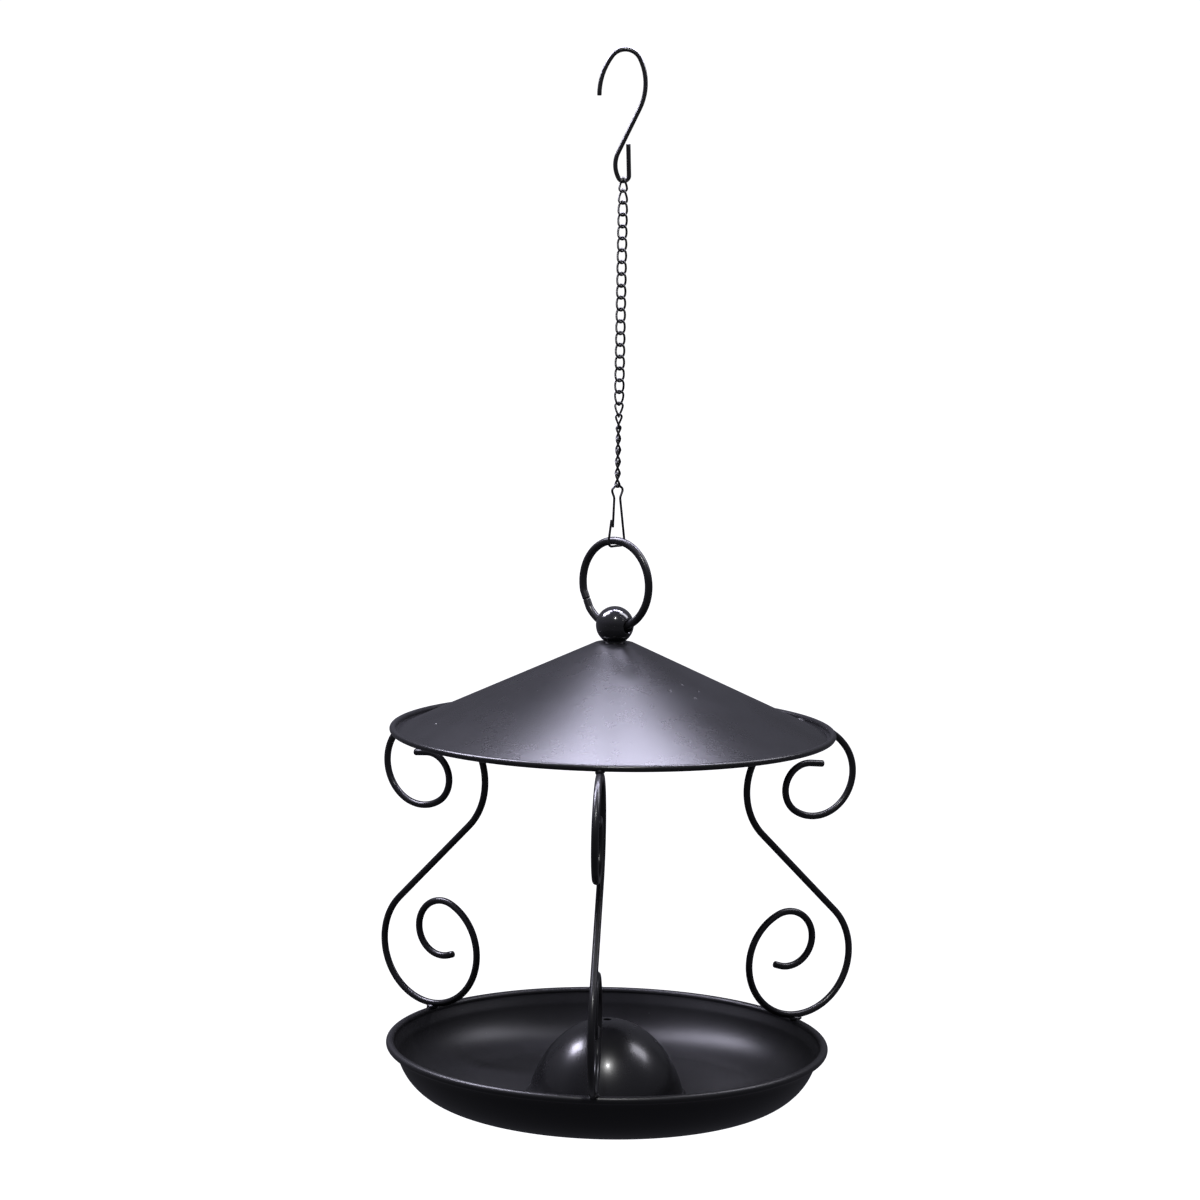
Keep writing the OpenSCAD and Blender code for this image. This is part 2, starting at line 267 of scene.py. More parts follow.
def enamel(name, color, roughness, coat=0.0, coat_roughness=0.1, grain=(900.0, 0.02), blotch=0.06,
           specks=0.0, marks=(), streaks=0.0, wear=0.0):
    """Black stove enamel on steel: clouds of tone and gloss, fine orange peel, dust, nicks and rubbed
    edges. grain is the scale and height of the orange peel. marks are [x, y, z, size, depth, pale],
    and a mark with a pale below 0 is dark."""
    mat = bpy.data.materials.new(name)
    mat.use_nodes = True
    tree = mat.node_tree
    nodes, links = tree.nodes, tree.links
    shader = nodes["Principled BSDF"]
    shader.inputs["Specular IOR Level"].default_value = 0.5
    shader.inputs["Coat Weight"].default_value = coat
    shader.inputs["Coat Roughness"].default_value = coat_roughness
    place = nodes.new("ShaderNodeTexCoord").outputs["Object"]

    def noise(scale, detail=3.0, rough=0.5, source=None):
        n = nodes.new("ShaderNodeTexNoise")
        n.inputs["Scale"].default_value = scale
        n.inputs["Detail"].default_value = detail
        n.inputs["Roughness"].default_value = rough
        links.new(source or place, n.inputs["Vector"])
        return n.outputs["Fac"]

    def math_node(kind, a, b):
        n = nodes.new("ShaderNodeMath")
        n.operation = kind
        for socket, value in zip(n.inputs, (a, b)):
            if isinstance(value, (int, float)):
                socket.default_value = value
            else:
                links.new(value, socket)
        return n.outputs[0]

    def map_range(value, low, high, to_low, to_high):
        n = nodes.new("ShaderNodeMapRange")
        links.new(value, n.inputs["Value"])
        for key, v in zip(("From Min", "From Max", "To Min", "To Max"), (low, high, to_low, to_high)):
            n.inputs[key].default_value = v
        return n.outputs["Result"]

    def mix_color(share, a, b):
        n = nodes.new("ShaderNodeMix")
        n.data_type = "RGBA"
        links.new(share, n.inputs["Factor"])
        for socket, value in ((n.inputs["A"], a), (n.inputs["B"], b)):
            if isinstance(value, tuple):
                socket.default_value = (*value, 1.0)
            else:
                links.new(value, socket)
        return n.outputs["Result"]

    # Broad clouds of tone, with the gloss following them, and a finer change of gloss on top
    wide = noise(14.0, 4.0, 0.6)
    tone = tuple(c * 1.5 for c in color)
    shade = mix_color(map_range(wide, 0.35, 0.7, 0.0, 1.0), tuple(c * 0.8 for c in color), tone)
    gloss = map_range(wide, 0.3, 0.7, roughness - blotch, roughness + blotch)
    gloss = math_node("ADD", gloss, map_range(noise(160.0, 5.0, 0.65), 0.3, 0.7, -0.003, 0.004))
    # Orange peel in two sizes
    height = math_node("MULTIPLY", noise(grain[0], 2.0, 0.5), grain[1])
    height = math_node("ADD", height, math_node("MULTIPLY", noise(90.0, 2.0, 0.4), grain[1] * 1.6))
    if streaks:
        # Level brush marks, from noise that is squeezed along the axis
        stretch = nodes.new("ShaderNodeMapping")
        stretch.inputs["Scale"].default_value = (6.0, 6.0, 170.0)
        links.new(place, stretch.inputs["Vector"])
        brushed = noise(1.0, 4.0, 0.6, stretch.outputs["Vector"])
        height = math_node("ADD", height, math_node("MULTIPLY", brushed, streaks))
        gloss = math_node("ADD", gloss, map_range(brushed, 0.3, 0.7, -0.003, 0.003))
    if specks:
        # Dust caught in the paint, only in a few patches
        cells = nodes.new("ShaderNodeTexVoronoi")
        cells.inputs["Scale"].default_value = 260.0
        links.new(place, cells.inputs["Vector"])
        rare = map_range(noise(55.0, 1.0), 0.62, 0.66, 0.0, 1.0)
        dust = math_node("MULTIPLY", map_range(cells.outputs["Distance"], 0.05, 0.12, specks, 0.0), rare)
        shade = mix_color(dust, shade, (0.35, 0.34, 0.33))
        gloss = math_node("ADD", gloss, math_node("MULTIPLY", dust, 0.4))
    for x, y, z, size, depth, pale in marks:
        away = nodes.new("ShaderNodeVectorMath")
        away.operation = "DISTANCE"
        links.new(place, away.inputs[0])
        away.inputs[1].default_value = (x * MM, y * MM, z * MM)
        ragged = math_node("ADD", away.outputs["Value"],
                           map_range(noise(700.0, 3.0), 0.3, 0.7, -0.4 * size * MM, 0.4 * size * MM))
        dent = map_range(ragged, 0.45 * size * MM, size * MM, 1.0, 0.0)
        height = math_node("ADD", height, math_node("MULTIPLY", dent, depth))
        gloss = math_node("ADD", gloss, math_node("MULTIPLY", dent, 0.45))
        shade = mix_color(math_node("MULTIPLY", dent, abs(pale)), shade,
                          (0.5, 0.49, 0.47) if pale > 0 else (0.002, 0.002, 0.002))
    if wear:
        # Paint rubbed thin on the edges
        edge = nodes.new("ShaderNodeNewGeometry").outputs["Pointiness"]
        worn = math_node("MULTIPLY", map_range(edge, 0.52, 0.62, 0.0, 1.0),
                         map_range(noise(120.0, 4.0), 0.5, 0.66, 0.0, wear))
        shade = mix_color(worn, shade, (0.16, 0.155, 0.15))
    bump = nodes.new("ShaderNodeBump")
    bump.inputs["Strength"].default_value = 1.0
    bump.inputs["Distance"].default_value = 0.001
    links.new(height, bump.inputs["Height"])
    links.new(shade, shader.inputs["Base Color"])
    links.new(gloss, shader.inputs["Roughness"])
    links.new(bump.outputs["Normal"], shader.inputs["Normal"])
    if coat:
        links.new(bump.outputs["Normal"], shader.inputs["Coat Normal"])
    return mat


def plated(name):
    """Dull zinc plate, a little mottled."""
    mat = bpy.data.materials.new(name)
    mat.use_nodes = True
    nodes, links = mat.node_tree.nodes, mat.node_tree.links
    shader = nodes["Principled BSDF"]
    shader.inputs["Metallic"].default_value = 1.0
    place = nodes.new("ShaderNodeTexCoord").outputs["Object"]
    spots = nodes.new("ShaderNodeTexNoise")
    spots.inputs["Scale"].default_value = 420.0
    spots.inputs["Detail"].default_value = 4.0
    links.new(place, spots.inputs["Vector"])
    ramp = nodes.new("ShaderNodeValToRGB")
    ramp.color_ramp.elements[0].color = (0.30, 0.30, 0.31, 1)
    ramp.color_ramp.elements[1].color = (0.55, 0.56, 0.58, 1)
    links.new(spots.outputs["Fac"], ramp.inputs["Fac"])
    rough = nodes.new("ShaderNodeMapRange")
    rough.inputs["To Min"].default_value = 0.28
    rough.inputs["To Max"].default_value = 0.5
    links.new(spots.outputs["Fac"], rough.inputs["Value"])
    bump = nodes.new("ShaderNodeBump")
    bump.inputs["Distance"].default_value = 0.00004
    links.new(spots.outputs["Fac"], bump.inputs["Height"])
    links.new(ramp.outputs["Color"], shader.inputs["Base Color"])
    links.new(rough.outputs["Result"], shader.inputs["Roughness"])
    links.new(bump.outputs["Normal"], shader.inputs["Normal"])
    return mat


BLACK = (0.0085, 0.0085, 0.0095)
# Four dark nicks right of the roof's front and one pale speck far left: x, y, z, size, depth, pale
ROOF_MARKS = (
    (29.5, -42.3, -332.1, 1.2, -0.25, -0.8),
    (35.9, -32.0, -330.5, 0.9, -0.2, -0.7),
    (42.7, -41.7, -336.0, 1.4, -0.25, -0.8),
    (44.5, -32.2, -333.8, 0.8, -0.2, -0.6),
    (-93.5, -30.1, -353.9, 0.55, 0.1, 0.9),
)
sheet_paint = enamel("sheet_enamel", BLACK, 0.275, grain=(700.0, 0.001), blotch=0.012, specks=0.05,
                     marks=ROOF_MARKS, streaks=0.0015, wear=0.05)
tray_paint = enamel("tray_enamel", BLACK, 0.4, grain=(700.0, 0.006), blotch=0.03, specks=0.12,
                    streaks=0.002, wear=0.05)
wire_paint = enamel("wire_enamel", BLACK, 0.3, grain=(1200.0, 0.002), blotch=0.02, specks=0.02)
chain_paint = enamel("chain_enamel", (0.007, 0.007, 0.0075), 0.32, grain=(2500.0, 0.002), blotch=0.04)
ball_paint = enamel("ball_enamel", BLACK, 0.14, coat=0.5, coat_roughness=0.06, grain=(500.0, 0.0015),
                    blotch=0.02, specks=0.1)
dome_paint = enamel("dome_enamel", BLACK, 0.27, coat=0.15, coat_roughness=0.1, grain=(500.0, 0.002),
                    blotch=0.02, specks=0.06)
zinc = plated("zinc_plate")

# ------------------------------------------------------------------ hook

# Each wire starts at [x, z, heading] and follows bends of [radius, turn], with angles in degrees.
CROOK_R = 8.6
HOOK_D = 2.4
HOOK_START = (-13.4045, -23.0696, 91.837)
HOOK_BENDS = [[33.4, -37.9], [CROOK_R, -54.4], [CROOK_R, -62.9], [29.6, -51.9], [25.5, 0],
              [14.7, 54.3], [2.9, 153.2], [16.5, 0]]
hook = flat_wire("s_hook", HOOK_START, HOOK_BENDS, HOOK_D, 0.0, 0.0, around=24)
settle(hook, "hook", wire_paint, "painted_wire", "hook")

# ----------------------------------------------------------------- chain

# Half the length and half the width of a link, to the middle of its wire, and the wire itself
LINK_A, LINK_B, LINK_D = 3.775, 2.25, 1.2
# How straight a link's sides are, and how far each half of it is twisted in degrees
LINK_SQUARENESS, LINK_TWIST = 6, -45
LINKS = 26
LINK_STATIONS = 64
# The butt seam on a link's side: half its width in radians, and the wire left there
SEAM_HALF, SEAM_NECK = 0.03, 0.86
RING_YAW = -41.0
UPPER_YAW = -45
LOWER_YAW = RING_YAW + 135


def eased(t):
    """A smooth step from 0 to 1."""
    t = min(1.0, max(0.0, t))
    return t * t * (3 - 2 * t)


def link_yaw(i):
    """A link's turn about the chain: eased from the hook's to none, and later from none to the clip's."""
    return UPPER_YAW * (1 - eased((i - 1) / 3)) + LOWER_YAW * eased((i - 0.66 * LINKS) / (0.22 * LINKS))


def oval(t):
    """Middle of a link's wire at angle t, and the direction square to the link's face there."""
    x = LINK_B * np.cos(t)
    z = LINK_B * np.sin(t) + (LINK_A - LINK_B) * np.tanh(np.sin(t) * LINK_SQUARENESS)
    twist = np.radians(LINK_TWIST * z / LINK_A)
    return (
        np.c_[x * np.cos(twist), x * np.sin(twist), z],
        np.c_[-np.sin(twist), np.cos(twist), np.zeros(len(t))],
    )


def chain_link(i):
    """One twisted link, centred on its CAD node."""
    t = (np.arange(LINK_STATIONS) + 0.5) * 2 * math.pi / LINK_STATIONS
    seam = np.array([math.pi - SEAM_HALF, math.pi, math.pi + SEAM_HALF])
    t = np.sort(np.concatenate([t[np.abs(t - math.pi) > 2 * SEAM_HALF], seam]))
    points, face = oval(t)
    tangents = oval(t + 0.02)[0] - oval(t - 0.02)[0]
    radii = np.where(np.abs(t - math.pi) < SEAM_HALF / 3, SEAM_NECK, 1.0) * LINK_D / 2
    verts, faces = tube(points, face, tangents, radii, 14, closed=True)
    low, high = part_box(f"chain_link_{i:02d}")
    verts = turn_z(verts, link_yaw(i)) + [0, 0, (low.z + high.z) / 2 / MM]
    link = make(f"curb_link_{i:02d}", verts, faces, 60)
    settle(link, f"link_{i:02d}", chain_paint, "chain_wire", f"chain_link_{i:02d}")


for number in range(1, LINKS + 1):
    chain_link(number)

# ------------------------------------------------------------- snap clip

CLIP_TOP_Z = -227.959
CLIP_D = 1.3
CLIP_START = (-4.32487, -18.6232, 260.0)
CLIP_BENDS = [[11.5, 0], [2.6, 100], [3.76132, 0], [3.76132, 0], [2.6, 100], [22.1032, 0], [3, -38],
              [2.6, 0], [1.6, 86], [3, 0], [1.7, 32], [1.7, 32], [3, 0], [1.6, 86], [2.6, 0],
              [3, -30.3637], [15.1032, 0]]
clip = flat_wire("snap_hook", CLIP_START, CLIP_BENDS, CLIP_D, RING_YAW + 90, CLIP_TOP_Z, around=18)
settle(clip, "clip", chain_paint, "chain_wire", "snap_clip")

# ------------------------------------------------------------------ ring

RING_R, RING_D = 23.3, 4.2
RING_SEAM = 206.0
RING_STRAIGHT = 12.0
RING_GAP = 0.25
RING_EDGE = 0.45
ring_z = (RING_LOW.z + RING_HIGH.z) / 2 / MM


def ring():
    """A bent wire ring whose two cut ends meet at a butt joint, with the last bit of each end straight."""
    first = np.linspace(RING_GAP, RING_STRAIGHT, 8)
    middle = np.linspace(RING_STRAIGHT + 3, 360 - RING_STRAIGHT - 3, 110)
    last = np.linspace(360 - RING_STRAIGHT, 360 - RING_GAP, 8)
    phi = np.concatenate([first, middle, last])
    off = np.minimum(phi, 360 - phi)
    flat = math.cos(math.radians(RING_STRAIGHT))
    r = np.where(off < RING_STRAIGHT, RING_R * flat / np.cos(np.radians(off)), RING_R)
    a = np.radians(phi + RING_SEAM)
    points = np.c_[r * np.cos(a), np.zeros(len(a)), r * np.sin(a)]
    tangents = np.gradient(points, axis=0)
    steps = np.array([[0.0], [EDGE_ALONG * RING_EDGE], [RING_EDGE]])
    head = points[0] + unit(points[1] - points[0]) * steps
    tail = points[-1] + unit(points[-2] - points[-1]) * steps[::-1]
    points = np.vstack([head, points[1:-1], tail])
    tangents = np.vstack([tangents[:1].repeat(3, 0), tangents[1:-1], tangents[-1:].repeat(3, 0)])
    ends = [RING_D / 2 - RING_EDGE, RING_D / 2 - EDGE_IN * RING_EDGE, RING_D / 2]
    radii = np.array(ends + [RING_D / 2] * (len(points) - 6) + ends[::-1])
    sides = np.tile([0.0, 1.0, 0.0], (len(points), 1))
    verts, faces = tube(points, sides, tangents, radii, 32)
    return make("butted_ring", turn_z(verts, RING_YAW) + [0, 0, ring_z], faces)


settle(ring(), "ring", wire_paint, "painted_wire", "hanging_ring")

# ------------------------------------------------------------------ ball

BALL_D = 20.4
HOLE_R = 3.526
NECK_D = 11.6
SEAT_Z = BALL_LOW.z / MM
ball_z = BALL_HIGH.z / MM - BALL_D / 2


def ball():
    """A ball turned about its cross hole, joined to a short neck."""
    r, ease = BALL_D / 2, 0.45
    lip = math.degrees(math.asin((HOLE_R + ease) / r))
    half = r * math.cos(math.radians(lip))
    outside = [(r * math.sin(a), -r * math.cos(a)) for a in np.radians(np.linspace(lip, 180 - lip, 72))]
    profile = outside + [(HOLE_R + 0.3 * ease, half - 0.05), (HOLE_R, half - 0.5 * ease)]
    profile += line((HOLE_R, half - 1.2), (HOLE_R, 1.2 - half), 2.0)
    profile += [(HOLE_R, 0.5 * ease - half), (HOLE_R + 0.3 * ease, 0.05 - half)]
    core = lathe("drilled_ball", profile, 120)
    core.data.transform(Matrix.Translation((0, 0, ball_z * MM))
                        @ Matrix.Rotation(math.radians(RING_YAW), 4, "Z")
                        @ Matrix.Rotation(math.radians(90), 4, "Y"))
    n = NECK_D / 2
    top = ball_z - math.sqrt(r**2 - n**2) + 0.6
    neck = [(0, SEAT_Z), (n - 0.25, SEAT_Z), (n, SEAT_Z + 0.25)]
    neck += line((n, SEAT_Z + 0.5), (n, top - 0.3), 0.4)
    neck += [(n - 0.3, top), (0, top)]
    stem = lathe("stem", neck, 120)
    return boolean(core, stem, "UNION")


settle(ball(), "feeder", ball_paint, "gloss_paint", "ball_finial")

# ------------------------------------------------------- screw and washer

SHEET_T = 0.8
SCREW_D = 5.0
WASHER_D, WASHER_T = 12.0, 1.0
washer_top = SEAT_Z - SHEET_T


def washer():
    """A flat washer with eased edges, under the roof's seat."""
    r, w, e, t = 2.6, WASHER_D / 2, 0.18, WASHER_T
    z = washer_top
    profile = [(r + e, z), (w - e, z), (w, z - e), (w, z - t + e), (w - e, z - t), (r + e, z - t),
               (r, z - t + e), (r, z - e)]
    return lathe("steel_washer", profile[::-1], 96, 60)


def screw():
    """A pan head with a cross recess, and its shank."""
    top = washer_top - WASHER_T
    head_r, head_h, shank_r = SCREW_D * 0.9, SCREW_D * 0.6, SCREW_D / 2
    crown_r = 7.2
    tip, end = 0.5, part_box("finial_screw")[1].z / MM
    profile = arc(0, top - head_h + crown_r, crown_r, -90, -64, 8)
    profile[0] = (0, profile[0][1])
    profile += [(head_r - 0.7, top - head_h + 1.0), (head_r - 0.15, top - 0.9), (head_r, top - 0.4)]
    profile += [(head_r - 0.1, top), (shank_r, top), (shank_r, end - tip), (shank_r - tip, end), (0, end)]
    body = lathe("pan_screw", profile, 96, 40)
    # Two tapered blades, turned square to each other, cut the recess.
    half_w, depth, half_l = 0.45, 1.7, 2.4
    plan = ((-half_l, -half_w), (half_l, -half_w), (half_l, half_w), (-half_l, half_w))
    levels = ((top - head_h - 1, 1, 1), (top - head_h + depth, 0.35, 0.9))
    corners = [(x * narrow, y * thin, z) for z, narrow, thin in levels for x, y in plan]
    faces = [(3, 2, 1, 0), (4, 5, 6, 7)]
    faces += [(j, (j + 1) % 4, 4 + (j + 1) % 4, 4 + j) for j in range(4)]
    for turn in (0, 90):
        boolean(body, make("cutter", turn_z(corners, turn), faces), "DIFFERENCE")
    return body


settle(washer(), "feeder", zinc, "plated_steel", "finial_washer")
settle(screw(), "feeder", zinc, "plated_steel", "finial_screw")

# ------------------------------------------------------------------ roof

ROOF_R = 120.0
SLOPE = math.radians(25)
BEAD_R = 1.75
SHOULDER_R, SHOULDER_X = 3.5, 9.2
GROOVE_W, BEAD_RISE = 1.3, 1.2
bead_x = ROOF_R - BEAD_R
shoulder_z = SEAT_Z + 1.85 - SHOULDER_R
cone_top = shoulder_z + SHOULDER_R / math.cos(SLOPE)
bead_z = cone_top - (bead_x - BEAD_R - GROOVE_W - SHOULDER_X) * math.tan(SLOPE) + BEAD_RISE


def cone_z(r):
    """Height of the cone's top face at a radius."""
    return cone_top - (r - SHOULDER_X) * math.tan(SLOPE)


def roof():
    """One spun sheet: dimple under the neck, shoulder, cone, gutter and rolled rim."""
    down = np.array([math.cos(SLOPE), -math.sin(SLOPE)])
    bore, t = 2.6, SHEET_T

    def on_bead(degrees):
        a = math.radians(degrees)
        return (bead_x + BEAD_R * math.cos(a), bead_z + BEAD_R * math.sin(a))

    def inside(r):
        return (r, cone_z(r) - t / math.cos(SLOPE))

    # Flat seat, dimple and shoulder
    seat_r = 4.6
    top = [(bore, SEAT_Z), (seat_r, SEAT_Z)]
    top += hermite((seat_r, SEAT_Z), (1.6, 0), (6.6, shoulder_z + 2.35), (1.2, 1.2), 6)
    top += arc(SHOULDER_X, shoulder_z, SHOULDER_R, 138, 65, 14)
    # Cone
    start_r = SHOULDER_X + SHOULDER_R * math.sin(SLOPE) + 1.0
    end_r = 114.2
    top += line((start_r, cone_z(start_r)), (end_r, cone_z(end_r)), 2.5)
    # Gutter, which runs down to a pit and up to the bead's lip
    lip_turn, fold_turn = 203, -128
    rise = math.radians(lip_turn)
    pit = (end_r + 0.95, bead_z - BEAD_R + 0.55)
    top += hermite((end_r, cone_z(end_r)), 1.6 * down, pit, (0.9, -0.5), 5) + [pit]
    top += hermite(pit, (0.9, 0.1), on_bead(lip_turn), (1.6 * math.sin(rise), -1.6 * math.cos(rise)), 6)
    # Bead, and the crease where it meets the underside
    top += arc(bead_x, bead_z, BEAD_R, lip_turn, fold_turn, 40)
    fold = on_bead(fold_turn)
    under = [(fold[0] - 0.35, fold[1] + 0.25), (fold[0] - 0.7, fold[1] - 0.1)]
    # Underside, back to the bore
    under_r, under_end_r = 114.4, 12.0
    under += hermite(under[-1], (-0.8, -0.5), inside(under_r), -1.2 * down, 5)
    under += line(inside(under_r), inside(under_end_r), 3.0)
    under += arc(SHOULDER_X, shoulder_z, SHOULDER_R - t, 65, 130, 8)
    under += [(5.6, SEAT_Z - t), (bore, SEAT_Z - t)]
    return lathe("spun_roof", (top + under)[::-1], 320, 50)


settle(roof(), "feeder", sheet_paint, "painted_sheet", "roof")

# ------------------------------------------------------------------ tray

TRAY_R = 120.0
HEM_R = 2.2
TRAY_DEPTH = 28.8
BASE_R = 84.5
CORNER_TURN = 75.0
hem_x = TRAY_R - HEM_R
hem_z = TRAY_LOW.z / MM + TRAY_DEPTH
floor_z = TRAY_LOW.z / MM + SHEET_T
corner_r = (hem_x - 4 - BASE_R) / math.sin(math.radians(CORNER_TURN))
corner_z = TRAY_LOW.z / MM + corner_r


def tray():
    """One spun sheet: flat base, turned-up corner, flare and a hem rolled outward."""
    a = math.radians(CORNER_TURN)
    up = np.array([math.cos(a), math.sin(a)])
    base = TRAY_LOW.z / MM
    outer = [(0, base), (10, base), (40, base), (60, base), (75, base)]
    outer += arc(BASE_R, corner_z, corner_r, -90, -90 + CORNER_TURN, 30)
    wall = np.array(outer[-1])
    under_hem = math.radians(-127)
    crease = (hem_x + HEM_R * math.cos(under_hem), hem_z + HEM_R * math.sin(under_hem))
    outer += [tuple(wall + up * 2.0)]
    outer += [(crease[0] - 0.45, crease[1] + 0.05), (crease[0] - 0.15, crease[1] + 0.35)]
    outer += arc(hem_x, hem_z, HEM_R, -120, 190, 44)
    lip = np.array(outer[-1])
    inner = arc(BASE_R, corner_z, corner_r - SHEET_T, -90 + CORNER_TURN, -90, 30)
    inside = hermite(lip, (-0.35, -2.4), np.array(inner[0]), -2.4 * up, 7)
    inner += [(75, floor_z), (60, floor_z), (40, floor_z), (10, floor_z), (0, floor_z)]
    return lathe("spun_tray", outer + inside + inner, 320, 45)


settle(tray(), "feeder", tray_paint, "painted_sheet", "tray")

# ------------------------------------------------------------------ dome

DOME_R, DOME_H, DOME_SINK = 44.0, 41.0, 16.0
DOME_HOLE_R = 2.15


def dome():
    """An egg-shaped shell with a small hole whose edge is turned in."""
    up = DOME_H + DOME_SINK
    low = math.degrees(math.asin(DOME_SINK / up))
    mid_z = floor_z - DOME_SINK
    ease = 0.5
    high = math.degrees(math.acos((DOME_HOLE_R + ease) / DOME_R))
    top_z = mid_z + up * math.sin(math.radians(high))

    def shell(inset, start, end, steps):
        t = np.radians(np.linspace(start, end, steps + 1))
        return [((DOME_R - inset) * math.cos(a), mid_z + (up - inset) * math.sin(a)) for a in t]

    profile = shell(0, low, high, 64)
    profile += [(DOME_HOLE_R + 0.3 * ease, top_z - 0.1), (DOME_HOLE_R, top_z - ease)]
    profile += [(DOME_HOLE_R, top_z - 0.85)]
    profile += shell(SHEET_T, high - 0.6, low + 1.0, 24)
    profile += [((DOME_R - SHEET_T) * math.cos(math.radians(low)), floor_z)]
    return lathe("egg_dome", profile, 200, 50)


settle(dome(), "feeder", dome_paint, "gloss_paint", "seed_dome")


def dome_bead():
    """The run of weld round the dome's foot, a little uneven."""
    low = math.degrees(math.asin(DOME_SINK / (DOME_H + DOME_SINK)))
    foot = DOME_R * math.cos(math.radians(low))

    def uneven(v):
        a = np.arctan2(v[:, 1], v[:, 0])
        out = np.hypot(v[:, 0], v[:, 1]) - foot
        swell = 1 + 0.12 * np.sin(23 * a) + 0.08 * np.sin(41 * a + 1.0)
        r = foot + out * np.where(out > 0.2, swell, 1.0)
        return np.c_[r * np.cos(a), r * np.sin(a), v[:, 2]]

    profile = [(foot - 0.4, floor_z - 0.05), (foot + 1.3, floor_z - 0.05), (foot + 1.2, floor_z + 0.15),
               (foot + 0.75, floor_z + 0.45), (foot + 0.3, floor_z + 0.85), (foot + 0.02, floor_z + 1.35),
               (foot - 0.4, floor_z + 1.4)]
    return lathe("dome_bead", profile, 240, 70, uneven)


settle(dome_bead(), "feeder", dome_paint, "gloss_paint", "dome_weld")

# ------------------------------------------------------------------ legs

# A little under the CAD's 4 mm, so that the round wire stays inside the CAD's faceted one
LEG_D = 3.84
LEG_START = (103.412, -498.419, -18.2)
LEG_BENDS = [[3.6, 0], [15.6, 222.7], [30.3, 155.5], [33.6, 135.596], [66.3606, 0], [34.8, -188.096],
             [23.6, -159.2], [14.4, -154.2], [7.9, 0]]
LEGS = {"front": 267.0, "right": 27.0, "left": 147.0}
for side, azimuth in LEGS.items():
    leg = flat_wire(f"scroll_{side}", LEG_START, LEG_BENDS, LEG_D, azimuth, 0.0, around=24, step=4.0)
    settle(leg, "feeder", wire_paint, "painted_wire", f"leg_{side}")


def weld(name, x, z, size, azimuths, seed):
    """Puddles of weld metal, one at each leg, joined into one piece."""
    rng = np.random.default_rng(seed)
    verts, faces = [], []
    rows, cols = 18, 28
    for azimuth in azimuths:
        th = np.radians(np.linspace(0, 180, rows + 2)[1:-1])[:, None]
        ph = np.radians(np.arange(cols) * 360 / cols)[None, :]
        lump = 1.0
        for _ in range(5):
            f = rng.integers(1, 4)
            lump = lump + 0.07 * np.sin(f * ph + rng.uniform(0, 6)) * np.sin(rng.integers(1, 4) * th)
        p = np.stack([size[0] * lump * np.sin(th) * np.cos(ph), size[1] * lump * np.sin(th) * np.sin(ph),
                      size[2] * lump * np.cos(th) * np.ones_like(ph)], -1).reshape(-1, 3)
        p = np.vstack([p, [0, 0, size[2]], [0, 0, -size[2]]])
        start = sum(len(v) for v in verts)
        quads = grid_faces(rows, cols, False, flip=True)
        top, bottom = rows * cols, rows * cols + 1
        fans = [(top, j, (j + 1) % cols) for j in range(cols)]
        base = (rows - 1) * cols
        fans += [(bottom, base + (j + 1) % cols, base + j) for j in range(cols)]
        verts.append(turn_z(p + [x, 0, z], azimuth))
        faces += [tuple(start + i for i in f) for f in quads + fans]
    return make(name, np.vstack(verts), faces, 80)


roof_weld = weld("roof_weld_puddles", bead_x - 1.4, bead_z - BEAD_R - 0.1, (3.4, 2.5, 1.9),
                 LEGS.values(), 3)
settle(roof_weld, "feeder", wire_paint, "painted_wire", "roof_welds")
tray_weld = weld("tray_weld_puddles", hem_x, hem_z + HEM_R, (3.6, 2.7, 1.7), LEGS.values(), 5)
settle(tray_weld, "feeder", wire_paint, "painted_wire", "tray_welds")

# --------------------------------------------------- stage, light, camera


def floor():
    """A wide white floor far below the feeder, which the enamel does not reflect."""
    mesh = bpy.data.meshes.new("floor")
    half, z = 40.0, -2.6
    corners = [(-half, -half, z), (half, -half, z), (half, half, z), (-half, half, z)]
    mesh.from_pydata(corners, [], [(0, 1, 2, 3)])
    obj = bpy.data.objects.new("floor", mesh)
    bpy.context.scene.collection.objects.link(obj)
    mat = bpy.data.materials.new("pale_floor")
    mat.use_nodes = True
    shader = mat.node_tree.nodes["Principled BSDF"]
    shader.inputs["Base Color"].default_value = (0.9, 0.9, 0.9, 1)
    shader.inputs["Emission Color"].default_value = (1, 1, 1, 1)
    shader.inputs["Emission Strength"].default_value = 1.0
    mesh.materials.append(mat)
    obj.visible_diffuse = obj.visible_glossy = obj.visible_shadow = False


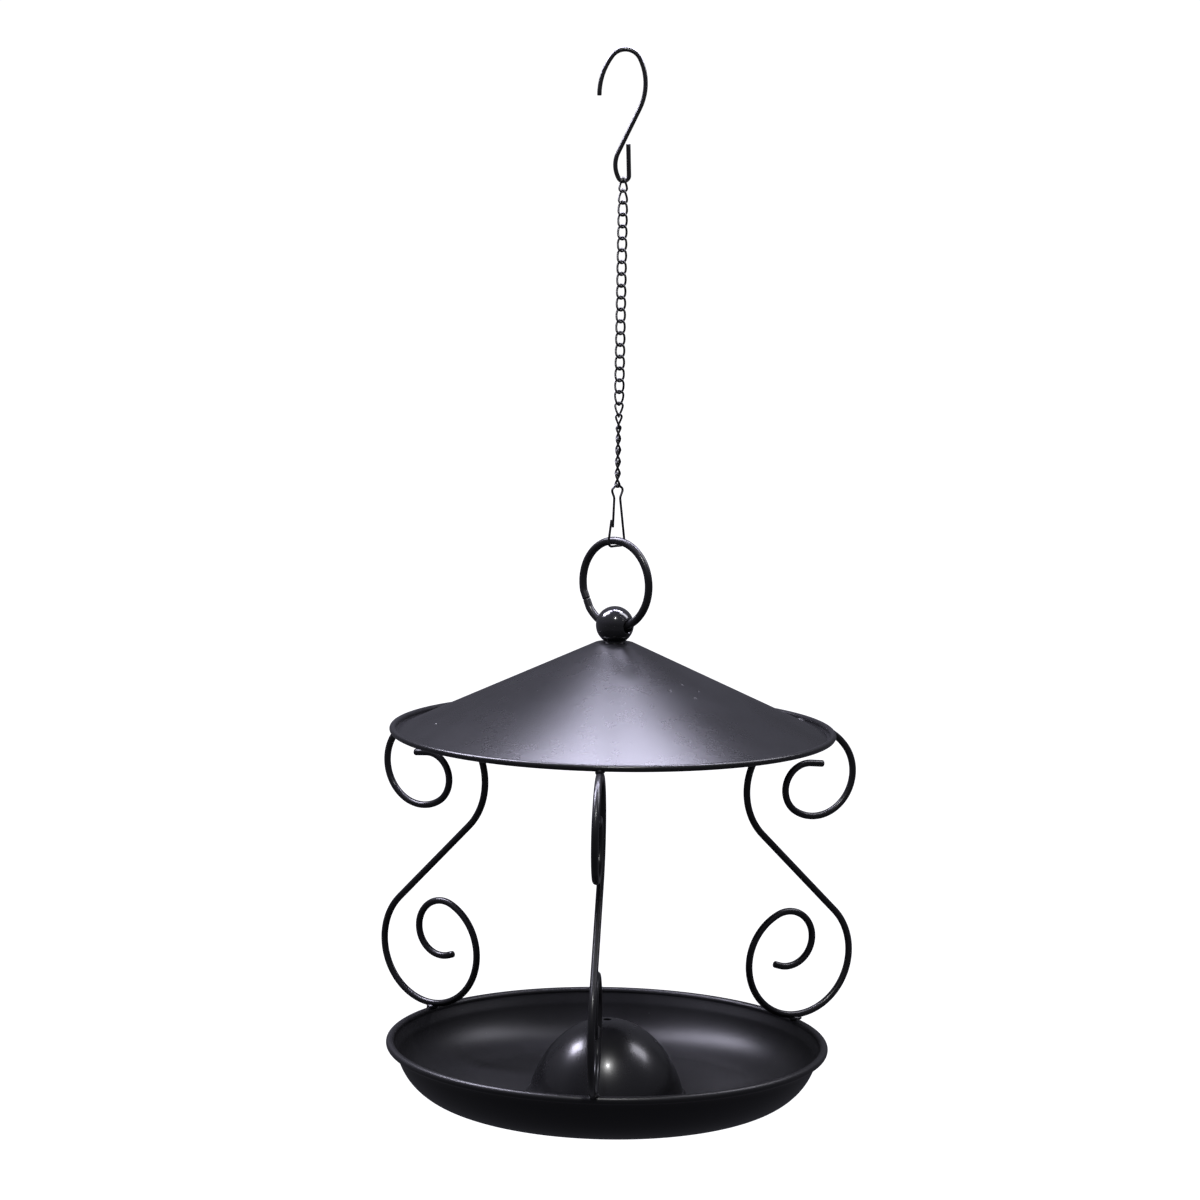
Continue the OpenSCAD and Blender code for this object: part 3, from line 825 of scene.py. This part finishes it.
def sky():
    """White behind the object, and a dim studio for what the enamel reflects."""
    world = bpy.data.worlds.new("studio")
    world.use_nodes = True
    nodes, links = world.node_tree.nodes, world.node_tree.links
    out = nodes["World Output"]
    seen = nodes["Background"]
    seen.inputs["Color"].default_value = (1, 1, 1, 1)
    seen.inputs["Strength"].default_value = 1.05
    room = nodes.new("ShaderNodeBackground")
    room.inputs["Strength"].default_value = 1.0
    across = nodes.new("ShaderNodeSeparateXYZ")
    links.new(nodes.new("ShaderNodeTexCoord").outputs["Generated"], across.inputs[0])
    ramp = nodes.new("ShaderNodeValToRGB")
    remap = nodes.new("ShaderNodeMapRange")
    remap.inputs["From Min"].default_value = -1.0
    links.new(across.outputs["Z"], remap.inputs["Value"])
    links.new(remap.outputs["Result"], ramp.inputs["Fac"])
    stops = ((0.0, 0.08), (0.45, 0.09), (0.5, 0.08), (0.56, 0.08), (0.7, 0.16), (1.0, 0.22))
    while len(ramp.color_ramp.elements) < len(stops):
        ramp.color_ramp.elements.new(0.5)
    for element, (place, value) in zip(ramp.color_ramp.elements, stops):
        element.position = place
        element.color = (value, value, value * 1.2, 1)
    links.new(ramp.outputs["Color"], room.inputs["Color"])
    mix = nodes.new("ShaderNodeMixShader")
    links.new(nodes.new("ShaderNodeLightPath").outputs["Is Camera Ray"], mix.inputs["Fac"])
    links.new(room.outputs[0], mix.inputs[1])
    links.new(seen.outputs[0], mix.inputs[2])
    links.new(mix.outputs[0], out.inputs["Surface"])
    bpy.context.scene.world = world


# The windows and the lamp all face this point inside the dome, and stand this far from it.
DOME_AIM = (0, 0, -0.54)
LAMP_AWAY = 1.3


def from_dome(azimuth, elevation):
    """The place of a light as the dome sees it. Azimuth 0 is in front, 90 to the right."""
    a, e = math.radians(azimuth), math.radians(elevation)
    away = Vector((math.sin(a) * math.cos(e), -math.cos(a) * math.cos(e), math.sin(e)))
    return Vector(DOME_AIM) + away * LAMP_AWAY


def softbox(name, place, target, width, height, power, color=(1, 1, 1)):
    """A rectangular light that faces a target and lies level."""
    data = bpy.data.lights.new(name, "AREA")
    data.shape = "RECTANGLE"
    data.size, data.size_y = width, height
    data.energy = power
    data.color = color
    obj = bpy.data.objects.new(name, data)
    obj.location = place
    obj.rotation_mode = "QUATERNION"
    obj.rotation_quaternion = (Vector(target) - Vector(place)).to_track_quat("-Z", "Y")
    obj.visible_camera = False
    bpy.context.scene.collection.objects.link(obj)


floor()
sky()
softbox("roof_glow", (-0.005, 0.113, 0.075), (0, -0.06, -0.35), 0.437, 0.06, 3.2, (0.80, 0.78, 1.0))
softbox("left_window", from_dome(-108, 56.6), DOME_AIM, 0.31, 0.6, 21, (0.84, 0.82, 1.0))
softbox("right_window", from_dome(104, 54.7), DOME_AIM, 0.30, 0.8, 7.0, (0.90, 0.89, 1.0))
softbox("front_lamp", from_dome(4, 56.9), DOME_AIM, 0.03, 0.03, 5.2)

# The camera stands in front of the feeder, a little above the roof's rim, and looks down at it.
CAMERA_AWAY = 1.8343
CAMERA_Z = -0.0569
PITCH, YAW, ROLL = math.radians(7.2486), math.radians(-0.2558), math.radians(1.061)
FOCAL_PX = 3455.0
FRAME_PX = 1200

lens = bpy.data.cameras.new("camera")
lens.sensor_width = 36.0
lens.lens = FOCAL_PX / FRAME_PX * lens.sensor_width
lens.clip_start, lens.clip_end = 0.05, 100.0
camera = bpy.data.objects.new("camera", lens)
camera.rotation_mode = "QUATERNION"
camera.location = (0, -CAMERA_AWAY, CAMERA_Z)
look = Vector((math.sin(YAW) * math.cos(PITCH), math.cos(YAW) * math.cos(PITCH), -math.sin(PITCH)))
flat_right = Vector((math.cos(YAW), -math.sin(YAW), 0))
flat_up = flat_right.cross(look)
right = flat_right * math.cos(ROLL) + flat_up * math.sin(ROLL)
up = flat_up * math.cos(ROLL) - flat_right * math.sin(ROLL)
camera.rotation_quaternion = Matrix((right, up, -look)).transposed().to_quaternion()
bpy.context.scene.collection.objects.link(camera)
bpy.context.scene.camera = camera
bpy.context.scene.view_settings.view_transform = "Standard"
